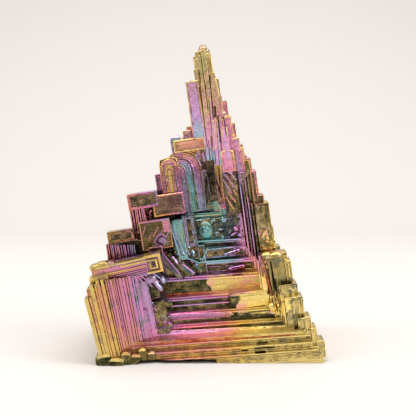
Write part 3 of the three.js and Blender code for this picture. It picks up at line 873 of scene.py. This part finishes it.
# helpers for the finish
def newGroup(name, inputs, outputs):
    tree = bpy.data.node_groups.new(name, "ShaderNodeTree")
    for label, form, *start in inputs:
        socket = tree.interface.new_socket(label, in_out="INPUT", socket_type=form)
        if start:
            socket.default_value = start[0]
    for label, form in outputs:
        tree.interface.new_socket(label, in_out="OUTPUT", socket_type=form)
    return tree, tree.nodes.new("NodeGroupInput"), tree.nodes.new("NodeGroupOutput")


def shaderAttribute(tree, label, output="Fac"):
    return add(tree, "ShaderNodeAttribute", attribute_name=label).outputs[output]


def noise(tree, vector, scale, detail=2.0, roughness=0.5, output=0, **props):
    ins = {"Scale": scale, "Detail": detail, "Roughness": roughness}
    if vector is not None:
        ins["Vector"] = vector
    return add(tree, "ShaderNodeTexNoise", ins, **props).outputs[output]


def smooth(tree, value, low, high, toLow=0.0, toHigh=1.0):
    return add(tree, "ShaderNodeMapRange", {0: value, 1: low, 2: high, 3: toLow, 4: toHigh},
               interpolation_type="SMOOTHSTEP").outputs[0]


def growthGroup():
    # distance to the nearest edge of the block, the nested growth lines and the streaks along it
    tree, source, sink = newGroup("growthLines", (
        ("Rim Width", "NodeSocketFloat", 0.35), ("Line Pitch", "NodeSocketFloat", 0.45)), (
        ("Rim", "NodeSocketFloat"), ("Lines", "NodeSocketFloat"), ("Streaks", "NodeSocketFloat"),
        ("Edge Distance", "NodeSocketFloat"), ("Room", "NodeSocketFloat")))
    local = shaderAttribute(tree, "local", "Vector")
    extent = shaderAttribute(tree, "extent", "Vector")
    lot = shaderAttribute(tree, "lot")
    toEdge = vec(tree, "SCALE", vec(tree, "SUBTRACT", vec(tree, "SCALE", extent, 0.5),
                                    vec(tree, "ABSOLUTE", local)), 1000.0)
    part = add(tree, "ShaderNodeSeparateXYZ", {0: toEdge})
    a, b, c = part.outputs
    edge = calc(tree, "MAXIMUM", calc(tree, "MINIMUM", a, b),
                calc(tree, "MINIMUM", calc(tree, "MAXIMUM", a, b), c))
    place = add(tree, "ShaderNodeTexCoord").outputs["Object"]
    ragged = noise(tree, place, 900.0, 3.0)
    reach = calc(tree, "SUBTRACT", edge, calc(tree, "MULTIPLY", calc(tree, "SUBTRACT", ragged, 0.5), 0.5))
    size = add(tree, "ShaderNodeSeparateXYZ", {0: extent})
    narrow = calc(tree, "MULTIPLY", 260.0, calc(tree, "MINIMUM", size.outputs[0], size.outputs[1]))
    narrow = calc(tree, "MINIMUM", narrow, source.outputs["Rim Width"])
    rim = calc(tree, "SUBTRACT", 1.0, smooth(tree, calc(tree, "DIVIDE", reach, narrow), 0.3, 1.0))
    along = calc(tree, "ADD", calc(tree, "DIVIDE", edge, source.outputs["Line Pitch"]),
                 calc(tree, "ADD", calc(tree, "MULTIPLY", lot, 57.0), calc(tree, "MULTIPLY", ragged, 0.5)))
    lines = add(tree, "ShaderNodeTexNoise", {"W": along, "Scale": 1.0, "Detail": 2.0, "Roughness": 0.7},
                noise_dimensions="1D").outputs[0]
    lying = calc(tree, "GREATER_THAN", size.outputs[0], size.outputs[1])
    stretch = vec(tree, "ADD", (4200.0, 240.0, 2200.0), vec(tree, "SCALE", (-3960.0, 3960.0, 0.0), lying))
    streakSpace = vec(tree, "ADD", vec(tree, "MULTIPLY", local, stretch),
                      vec(tree, "SCALE", (7.0, 3.0, 5.0), calc(tree, "MULTIPLY", lot, 40.0)))
    streaks = noise(tree, streakSpace, 1.0, 3.0, 0.6)
    # both fade on narrow ribs
    room = smooth(tree, calc(tree, "MINIMUM", size.outputs[0], size.outputs[1]), 0.0006, 0.0026, 0.15, 1.0)
    lines, streaks = (calc(tree, "ADD", 0.5, calc(tree, "MULTIPLY", calc(tree, "SUBTRACT", v, 0.5), room))
                      for v in (lines, streaks))
    for label, value in (("Rim", rim), ("Lines", lines), ("Streaks", streaks), ("Edge Distance", edge),
                         ("Room", room)):
        tree.links.new(value, sink.inputs[label])
    return tree


def blend(tree, factor, first, second, how="MIX"):
    return add(tree, "ShaderNodeMix", {0: factor, 6: first, 7: second}, data_type="RGBA",
               blend_type=how).outputs[2]


def colourRamp(tree, value, stops):
    node = add(tree, "ShaderNodeValToRGB", {0: value})
    elements = node.color_ramp.elements
    while len(elements) > 1:
        elements.remove(elements[-1])
    for i, (at, colour) in enumerate(stops):
        stop = elements[0] if i == 0 else elements.new(at)
        stop.position, stop.color = at, (*colour, 1)
    return node.outputs[0]


# the oxide film, and the stains, patches and greys that lie on it
oxide = {
    "film": (      # thickness and colour, first order from gold to blue, then teal and green-gold
        (0.0, (0.85, 0.665, 0.25)), (0.10, (0.90, 0.67, 0.21)), (0.22, (0.96, 0.64, 0.18)),
        (0.32, (0.86, 0.42, 0.24)), (0.42, (0.84, 0.35, 0.40)), (0.52, (0.79, 0.31, 0.58)),
        (0.62, (0.58, 0.38, 0.68)), (0.72, (0.36, 0.46, 0.62)), (0.82, (0.24, 0.57, 0.56)),
        (0.92, (0.36, 0.55, 0.42)), (1.0, (0.55, 0.48, 0.26))),
    "rimWidth": 0.22,         # millimetres, as is the spacing of the growth lines
    "linePitch": 0.22,
    "clouds": 0.28,           # how much each pattern thickens or thins the film
    "fineClouds": 0.11,
    "crumbs": 0.06,
    "blocks": 0.14,
    "lines": 0.14,
    "streaks": 0.14,
    "shadedRedLine": ((0.4, (0.34, 0.07, 0.035)), (0.6, (0.78, 0.24, 0.08))),
    # colour of the painted shade on upright faces and in hollows
    "shadeUmber": (
        (0.3, (0.015, 0.017, 0.013)), (0.47, (0.11, 0.09, 0.05)), (0.6, (0.26, 0.17, 0.09)),
        (0.75, (0.55, 0.35, 0.2))),
    "olive": (1.0, 1.28, 0.84),
    "tipBrightness": (1.6, 1.41, 1.52),
    "tipGold": (1.05, 0.80, 0.5),
    # painted highlights, smooth bright patches on the base risers: middle x and z, half width and height,
    # in metres
    "highlights": (
        (0.0085, 0.0182, 0.0085, 0.0026), (0.0148, 0.0136, 0.0066, 0.0029)),
    "highlightColours": ((0.38, (0.94, 0.52, 0.40)), (0.47, (1.0, 0.77, 0.24))),
    "bloom": (0.38, 0.36, 0.29),
    "blotch": (0.13, 0.14, 0.10),
    "blotchStrength": 0.75,
    "oliveStrength": 0.7,
    "spireFrom": 0.046,       # height in metres where the clean spire begins, and where it is full
    "spireFull": 0.056,
    "rimFilmAndHighlight": 0.07,      # how much thinner the film is on rims, turning them gold, partly a painted highlight along the edges, and how much more on the spire
    "spireThinning": 0.24,
    "innerLine": 0.75,        # darkness of the line inside a rim
    "recessShadeLoss": 0.9,         # brightness lost as painted shade where a block's painted shade is above 1: hollows, slots and clefts
    "treadLoss": 0.3,         # brightness lost on level treads, painted shade on faces that point up
    "wingLoss": 0.2,          # brightness lost on the wing and the bar
    "roughness": 0.2,
    "bumpStrength": 0.55,
    "bumpDepth": 0.2 * mm,
}


def oxideGroup():
    # film thickness in, colour out: gold, rose, magenta, lilac, blue, teal, then second-order green-gold
    tree, source, sink = newGroup("oxideColour", (("Thickness", "NodeSocketFloat", 0.3),),
                                  (("Colour", "NodeSocketColor"),))
    tree.links.new(colourRamp(tree, source.outputs["Thickness"], oxide["film"]), sink.inputs[0])
    return tree


def swing(tree, value, much):
    # a value about 0.5 turned into a plus or minus amount
    return calc(tree, "MULTIPLY", calc(tree, "SUBTRACT", value, 0.5), much)


def filmGroup():
    # film thickness over the whole crystal, by place in metres: thickest in the middle of the hollow
    tree, source, sink = newGroup("filmField", (
        ("Middle", "NodeSocketFloat", 0.92), ("Fall", "NodeSocketFloat", 0.7)),
        (("Thickness", "NodeSocketFloat"),))
    place = add(tree, "ShaderNodeTexCoord").outputs["Object"]
    x, y, z = add(tree, "ShaderNodeSeparateXYZ", {0: place}).outputs
    dx = calc(tree, "MAXIMUM", calc(tree, "DIVIDE", calc(tree, "SUBTRACT", x, 0.003), 0.0155),
              calc(tree, "DIVIDE", calc(tree, "SUBTRACT", 0.003, x), 0.030))
    dz = calc(tree, "DIVIDE", calc(tree, "SUBTRACT", z, 0.038), 0.040)
    away = calc(tree, "POWER", calc(tree, "ADD", calc(tree, "MULTIPLY", dx, dx),
                                    calc(tree, "MULTIPLY", dz, dz)), 0.5)
    thick = calc(tree, "SUBTRACT", source.outputs["Middle"],
                 calc(tree, "MULTIPLY", away, source.outputs["Fall"]))
    # in the base it thins toward the right
    low = calc(tree, "SUBTRACT", 1.0, smooth(tree, z, 0.018, 0.025))
    slope = calc(tree, "SUBTRACT", -0.004, calc(tree, "MULTIPLY", 14.0, calc(tree, "MAXIMUM", x, -0.015)))
    tree.links.new(calc(tree, "ADD", thick, calc(tree, "MULTIPLY", low, slope)), sink.inputs[0])
    return tree


def oxideFinish():
    # x, y and z below are in metres, noise scales in waves per metre
    material = bpy.data.materials.new("bismuthOxideFilm")
    material.use_nodes = True
    tree = material.node_tree
    shader = tree.nodes["Principled BSDF"]
    groups = bpy.data.node_groups
    growth = add(tree, "ShaderNodeGroup", node_tree=groups["growthLines"])
    growth.inputs["Rim Width"].default_value = oxide["rimWidth"]
    growth.inputs["Line Pitch"].default_value = oxide["linePitch"]
    rim, lines, streaks, edge, room = growth.outputs
    place = add(tree, "ShaderNodeTexCoord").outputs["Object"]
    x, y, z = add(tree, "ShaderNodeSeparateXYZ", {0: place}).outputs
    lot, bronze = shaderAttribute(tree, "lot"), shaderAttribute(tree, "blockBronze")
    cloud = noise(tree, place, 130.0, 3.0)
    fine = noise(tree, place, 520.0, 4.0, 0.7)
    crumb = noise(tree, place, 2300.0, 2.0, 0.6)
    # streaks show on some blocks only
    streaky = smooth(tree, noise(tree, place, 190.0, 2.0), 0.46, 0.6)
    streaks = calc(tree, "ADD", 0.5, calc(tree, "MULTIPLY", calc(tree, "SUBTRACT", streaks, 0.5), streaky))
    thick = add(tree, "ShaderNodeGroup", node_tree=groups["filmField"]).outputs[0]
    for value, much in ((cloud, "clouds"), (fine, "fineClouds"), (crumb, "crumbs"), (lot, "blocks"),
                        (lines, "lines"), (streaks, "streaks")):
        thick = calc(tree, "ADD", thick, swing(tree, value, oxide[much]))
    thick = calc(tree, "ADD", thick, shaderAttribute(tree, "blockTone"))
    spire = smooth(tree, z, oxide["spireFrom"], oxide["spireFull"])
    # rims: a thinner gold film, partly a painted highlight along the edges
    thin = calc(tree, "ADD", oxide["rimFilmAndHighlight"], calc(tree, "MULTIPLY", oxide["spireThinning"], spire))
    thick = calc(tree, "SUBTRACT", thick, calc(tree, "MULTIPLY", rim, thin))
    film = add(tree, "ShaderNodeGroup", {"Thickness": thick}, node_tree=groups["oxideColour"]).outputs[0]
    # red-brown lines: red film colour darkened as painted shade in the creases
    red = calc(tree, "GREATER_THAN", shaderAttribute(tree, "blockTone"), shadedRedLine - 1.0)
    film = blend(tree, red, film, colourRamp(tree, fine, oxide["shadedRedLine"]))
    # painted shade: broad upright faces are painted a dark bronze and olive inside their rims, standing in
    # for the dark reflections they catch, and hollows are painted darker
    normal = add(tree, "ShaderNodeNewGeometry").outputs["Normal"]
    up = add(tree, "ShaderNodeSeparateXYZ", {0: normal}).outputs[2]
    upright = calc(tree, "SUBTRACT", 1.0, smooth(tree, up, 0.3, 0.6))
    level = smooth(tree, up, 0.3, 0.6)
    recessShade = calc(tree, "MAXIMUM", 0.0, calc(tree, "SUBTRACT", bronze, 1.0))
    inside = calc(tree, "ADD", calc(tree, "ADD", edge, calc(tree, "MULTIPLY", recessShade, 0.45)), calc(
        tree, "ADD", swing(tree, fine, 0.7), swing(tree, crumb, 0.5)))
    uprightShade = calc(tree, "MULTIPLY", calc(tree, "MULTIPLY", smooth(tree, inside, 0.14, 0.34),
                                        calc(tree, "MAXIMUM", upright,
                                             calc(tree, "GREATER_THAN", bronze, 1.45))),
                 calc(tree, "MINIMUM", bronze, 1.0))
    shade = calc(tree, "ADD", 0.5, calc(tree, "ADD", swing(tree, crumb, 0.55), calc(tree, "ADD", swing(
        tree, fine, 0.9), calc(tree, "ADD", swing(tree, cloud, 0.8), swing(tree, streaks, 0.7)))))
    shadeUmber = colourRamp(tree, shade, oxide["shadeUmber"])
    olive = calc(tree, "MULTIPLY", calc(tree, "MAXIMUM", smooth(tree, x, 0.006, 0.014), calc(
        tree, "SUBTRACT", 1.0, smooth(tree, z, 0.02, 0.03))), oxide["oliveStrength"])
    shadeUmber = blend(tree, olive, shadeUmber, blend(tree, 1.0, shadeUmber, (*oxide["olive"], 1), "MULTIPLY"))
    filmAndShade = blend(tree, uprightShade, film, shadeUmber)
    # the tip and its ribs are brighter and paler toward the top
    tip = smooth(tree, z, oxide["spireFrom"], 0.06)
    filmAndShade = blend(tree, tip, filmAndShade, blend(tree, 1.0, filmAndShade, (*oxide["tipBrightness"], 1), "MULTIPLY"))
    pale = calc(tree, "ADD", 0.08, calc(tree, "MULTIPLY", 0.3, smooth(tree, z, 0.066, 0.074)))
    filmAndShade = blend(tree, calc(tree, "MULTIPLY", tip, pale), filmAndShade, (*oxide["tipGold"], 1))
    # painted highlights: smooth bright patches on the right of the base risers
    highlights = None
    for px, pz, wide, tall in oxide["highlights"]:
        reach = calc(tree, "MAXIMUM", calc(tree, "ABSOLUTE",
                                           calc(tree, "DIVIDE", calc(tree, "SUBTRACT", x, px), wide)),
                     calc(tree, "ABSOLUTE", calc(tree, "DIVIDE", calc(tree, "SUBTRACT", z, pz), tall)))
        reach = calc(tree, "ADD", reach, swing(tree, noise(tree, place, 210.0, 2.0), 1.0))
        highlight = calc(tree, "SUBTRACT", 1.0, smooth(tree, reach, 0.9, 0.99))
        highlights = calc(tree, "MAXIMUM", highlights, highlight) if highlights else highlight
    highlights = calc(tree, "MULTIPLY", calc(tree, "MULTIPLY", highlights, upright),
                   calc(tree, "LESS_THAN", y, -0.002))
    highlightColour = colourRamp(tree, calc(tree, "ADD", cloud, swing(tree, fine, 0.2)), oxide["highlightColours"])
    filmAndShade = blend(tree, highlights, filmAndShade, highlightColour)
    # dull grey bloom in scattered patches, mostly low on the right
    bloom = smooth(tree, noise(tree, place, 260.0, 5.0, 0.75), 0.54, 0.62)
    side = smooth(tree, calc(tree, "SUBTRACT", x, calc(tree, "MULTIPLY", z, 0.3)), 0.0, 0.012, 0.2, 0.42)
    side = calc(tree, "MAXIMUM", side, smooth(tree, x, -0.014, -0.02, 0.0, 0.6))
    side = calc(tree, "MAXIMUM", side, calc(tree, "MULTIPLY", smooth(tree, x, -0.006, -0.011, 0.0, 0.55),
                                            calc(tree, "SUBTRACT", 1.0, smooth(tree, z, 0.024, 0.029))))
    bloom = calc(tree, "MULTIPLY", bloom, side)
    bloomed = blend(tree, bloom, filmAndShade, (*oxide["bloom"], 1))
    blotch = calc(tree, "MULTIPLY", smooth(tree, noise(tree, place, 230.0, 4.0, 0.65), 0.5, 0.56),
                  calc(tree, "MULTIPLY", smooth(tree, x, 0.015, 0.019),
                       calc(tree, "SUBTRACT", smooth(tree, z, 0.006, 0.012),
                            smooth(tree, z, 0.024, 0.034))))
    blotch = calc(tree, "MULTIPLY", calc(tree, "MULTIPLY", blotch, upright), oxide["blotchStrength"])
    bloomed = blend(tree, blotch, bloomed, (*oxide["blotch"], 1))
    # painted shade: the grooves between growth lines are darkened, and the line just inside a rim is
    # darkened too
    grooveShade = smooth(tree, calc(tree, "ADD", calc(tree, "MULTIPLY", lines, 0.6), calc(
        tree, "MULTIPLY", streaks, 0.4)), 0.36, 0.45, 0.4, 1.0)
    grooveShade = calc(tree, "ADD", grooveShade, calc(tree, "MULTIPLY", calc(tree, "SUBTRACT", 1.0, grooveShade), calc(
        tree, "MULTIPLY", spire, 0.75)))
    inner = calc(tree, "MULTIPLY", smooth(tree, inside, 0.16, 0.26), calc(
        tree, "SUBTRACT", 1.0, smooth(tree, inside, 0.34, 0.5)))
    inner = calc(tree, "MULTIPLY", calc(tree, "MULTIPLY", inner, room),
                 calc(tree, "MULTIPLY", smooth(tree, fine, 0.42, 0.55), oxide["innerLine"]))
    paintedLightFactor = calc(tree, "MULTIPLY", grooveShade, calc(tree, "SUBTRACT", 1.0, inner))
    # painted shade: blocks whose painted shade is above 1, the hollows, slots and clefts, are darkened
    # further
    deep = calc(tree, "SUBTRACT", 1.0, calc(tree, "MULTIPLY", oxide["recessShadeLoss"], recessShade))
    paintedLightFactor = calc(tree, "MULTIPLY", paintedLightFactor, deep)
    # the painted highlights are kept clear of the painted shade
    paintedLightFactor = calc(tree, "MAXIMUM", paintedLightFactor, calc(tree, "MULTIPLY", highlights, 0.93))
    # the wing and the bar are a little darker, and level treads darker still as painted shade
    wingDarkening = calc(tree, "MULTIPLY", smooth(tree, x, -0.008, -0.015, 0.0, oxide["wingLoss"]), calc(
        tree, "SUBTRACT", 1.0, smooth(tree, z, 0.032, 0.038)))
    paintedLightFactor = calc(tree, "MULTIPLY", paintedLightFactor, calc(tree, "SUBTRACT", 1.0, calc(tree, "ADD", wingDarkening, calc(
        tree, "MULTIPLY", level, oxide["treadLoss"]))))
    tree.links.new(blend(tree, 1.0, bloomed, paintedLightFactor, "MULTIPLY"), shader.inputs["Base Color"])
    rough = calc(tree, "ADD", calc(tree, "ADD", oxide["roughness"], swing(tree, fine, 0.35)), calc(
        tree, "ADD", calc(tree, "MULTIPLY", bloom, 0.3), calc(tree, "MULTIPLY", level, 0.12)))
    tree.links.new(rough, shader.inputs["Roughness"])
    shader.inputs["Metallic"].default_value = 1.0
    height = calc(tree, "ADD", calc(tree, "MULTIPLY", lines, 0.6), calc(tree, "MULTIPLY", streaks, 0.5))
    height = calc(tree, "ADD", height, calc(tree, "ADD", calc(tree, "MULTIPLY", fine, 0.6), calc(
        tree, "ADD", calc(tree, "MULTIPLY", cloud, 1.2), calc(tree, "MULTIPLY", crumb, 0.2))))
    bump = add(tree, "ShaderNodeBump", {
        "Height": height, "Strength": oxide["bumpStrength"], "Distance": oxide["bumpDepth"]})
    tree.links.new(bump.outputs[0], shader.inputs["Normal"])
    return material


growthGroup()
oxideGroup()
filmGroup()
oxideFilm = oxideFinish()
print("oxide finish ready")


# the crystal itself, grown from its seeds
crystalValues = {
    "Waviness": 0.08 * mm,    # how far a face strays from flat
    "Wave Scale": 240.0,      # waves per metre
    "Seed": 3,
}
grownSeeds = seedMesh("crystalSeeds", seeds["grown"])
hollowSeeds = seedMesh("hollowSeeds", seeds["hollow"])
growth = grownSeeds.modifiers.new("growth", "NODES")
growth.node_group = crystalTree(blockShapes())
sockets = {s.name: s.identifier for s in growth.node_group.interface.items_tree if s.in_out == "INPUT"}
for label, value in {**crystalValues, "Hollows": hollowSeeds, "Finish": oxideFilm}.items():
    growth[sockets[label]] = value
depsgraph = bpy.context.evaluated_depsgraph_get()
mesh = bpy.data.meshes.new_from_object(grownSeeds.evaluated_get(depsgraph), preserve_all_data_layers=True,
                                       depsgraph=depsgraph)
mesh.name = "crystalBody"
for layer in [a.name for a in mesh.attributes]:
    if layer in ("bronze", "round", "arch", "bevel", "tone", "copies", "kind", "block", "step", "middle",
                 "spread", "size", "corner", "growth", "turn"):
        mesh.attributes.remove(mesh.attributes[layer])
crystal = bpy.data.objects.new("crystalBody", mesh)
bpy.context.collection.objects.link(crystal)
for helper in (grownSeeds, hollowSeeds):
    bpy.data.objects.remove(helper)
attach(crystal, "root")
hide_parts("bismuth_crystal")
print("crystal grown:", len(mesh.polygons), "faces")

# studio: a pale sweep, soft lights and the camera
studio = {
    "floorTint": (0.42, 0.398, 0.382),
    "key": 2.15,              # watts of each light
    "side": 2.1,
    "wall": 12.0,
    "lens": 59.37,
    "cameraPlace": (0.00066, -0.1932, 0.048),
    "cameraDown": 2.75,       # degrees below level
}

profile = [(-1.6, 0.0), (0.35, 0.0)]
bend = [a * math.pi / 24 for a in range(1, 13)]
profile += [(0.35 + 0.3 * math.sin(a), 0.3 - 0.3 * math.cos(a)) for a in bend]
profile.append((0.65, 1.6))
floorMesh = bpy.data.meshes.new("studioFloor")
floorMesh.from_pydata([(x, y, z) for y, z in profile for x in (-2.0, 2.0)], [],
                      [(2 * i, 2 * i + 1, 2 * i + 3, 2 * i + 2) for i in range(len(profile) - 1)])
for face in floorMesh.polygons:
    face.use_smooth = True
floor = bpy.data.objects.new("studioFloor", floorMesh)
bpy.context.collection.objects.link(floor)

paper = bpy.data.materials.new("palePaper")
paper.use_nodes = True
paper.node_tree.nodes["Principled BSDF"].inputs["Base Color"].default_value = (*studio["floorTint"], 1)
paper.node_tree.nodes["Principled BSDF"].inputs["Roughness"].default_value = 0.7
floorMesh.materials.append(paper)


def softLight(name, place, aim, size, power, tint=(1, 1, 1)):
    data = bpy.data.lights.new(name, "AREA")
    data.shape, data.size, data.size_y = "RECTANGLE", size[0], size[1]
    data.energy, data.color = power, tint
    lamp = bpy.data.objects.new(name, data)
    lamp.location = place
    lamp.rotation_euler = (Vector(aim) - Vector(place)).to_track_quat("-Z", "Y").to_euler()
    bpy.context.collection.objects.link(lamp)


softLight("overhead", (0.0, 0.05, 0.6), (0, 0, 0.03), (0.6, 0.6), studio["key"])
softLight("wallWash", (0.0, -0.2, 0.9), (0, 0.65, 0.6), (1.6, 0.3), studio["wall"])
softLight("leftPanel", (-0.55, -0.15, 0.25), (0, 0, 0.04), (0.35, 0.5), 0.7 * studio["side"])
softLight("rightPanel", (0.5, -0.25, 0.35), (0, 0, 0.04), (0.3, 0.4), studio["side"])

world = bpy.data.worlds.new("studioWorld")
bpy.context.scene.world = world
world.use_nodes = True
sky = world.node_tree
sky.nodes.clear()
direction = add(sky, "ShaderNodeTexCoord").outputs["Generated"]
part = add(sky, "ShaderNodeSeparateXYZ", {0: direction})
frontness = smooth(sky, part.outputs[1], -0.9, 0.3, 0.22, 1.05)
upness = smooth(sky, part.outputs[2], 0.1, 0.8, 0.0, 1.0)
glow = calc(sky, "ADD", frontness, upness)
seen = add(sky, "ShaderNodeBackground", {"Color": (0.93, 0.92, 0.915, 1), "Strength": 1.0})
lit = add(sky, "ShaderNodeBackground", {"Color": (1.0, 0.985, 0.97, 1), "Strength": glow})
pick = add(sky, "ShaderNodeMixShader", {0: add(sky, "ShaderNodeLightPath").outputs["Is Camera Ray"],
                                        1: lit.outputs[0], 2: seen.outputs[0]})
add(sky, "ShaderNodeOutputWorld", {"Surface": pick.outputs[0]})

cameraData = bpy.data.cameras.new("viewCamera")
cameraData.lens, cameraData.sensor_width = studio["lens"], 36
cameraData.clip_start = 0.005
camera = bpy.data.objects.new("viewCamera", cameraData)
camera.location = studio["cameraPlace"]
camera.rotation_euler = (math.radians(90 - studio["cameraDown"]), 0, 0)
bpy.context.collection.objects.link(camera)
bpy.context.scene.camera = camera
bpy.context.scene.view_settings.view_transform = "Standard"
print("studio ready")
